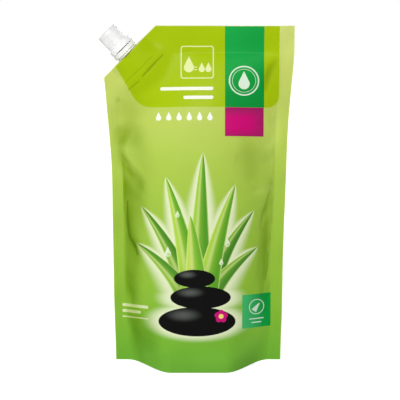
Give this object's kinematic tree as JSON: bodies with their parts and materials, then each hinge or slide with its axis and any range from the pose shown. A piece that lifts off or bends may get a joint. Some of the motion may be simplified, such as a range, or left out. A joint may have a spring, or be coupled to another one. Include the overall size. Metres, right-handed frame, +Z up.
{
  "type": "hand soap refill pouch",
  "caption": "Stand-up refill pouch for liquid soap, with flat sealed edges, a folded base and a screw cap on a spout in its cut upper corner.",
  "frame": {"origin": "middle of the base, on the surface the pouch stands on", "axes": "+Z up along the height, the printed front faces -Y, the spout is in the corner at -X"},
  "size_m": [0.1603, 0.058, 0.2876],
  "materials": {
    "printed_film": "satin printed laminate",
    "white_plastic": "satin white",
    "natural_plastic": "milky",
    "foam": "matte"
  },
  "bodies": {
    "pack": {"pouch": "printed_film", "spout": "natural_plastic", "tamper_ring": "white_plastic"},
    "liner": {"cap_liner": "foam"},
    "closure": {"cap": "white_plastic"}
  },
  "joints": [
    {"name": "cap_lift", "type": "slide", "parent": "pack", "child": "liner", "axis": [-0.7071, 0, 0.7071], "range_m": [0, 0.0045]},
    {"name": "cap_turn", "type": "hinge", "parent": "liner", "child": "closure", "pos_m": [-0.05734, 0, 0.26366], "axis": [-0.7071, 0, 0.7071], "range_deg": [0, 540]}
  ],
  "couplings": [
    {"joint": "cap_lift", "follows": "cap_turn", "m_per_rad": 0.00047746}
  ]
}
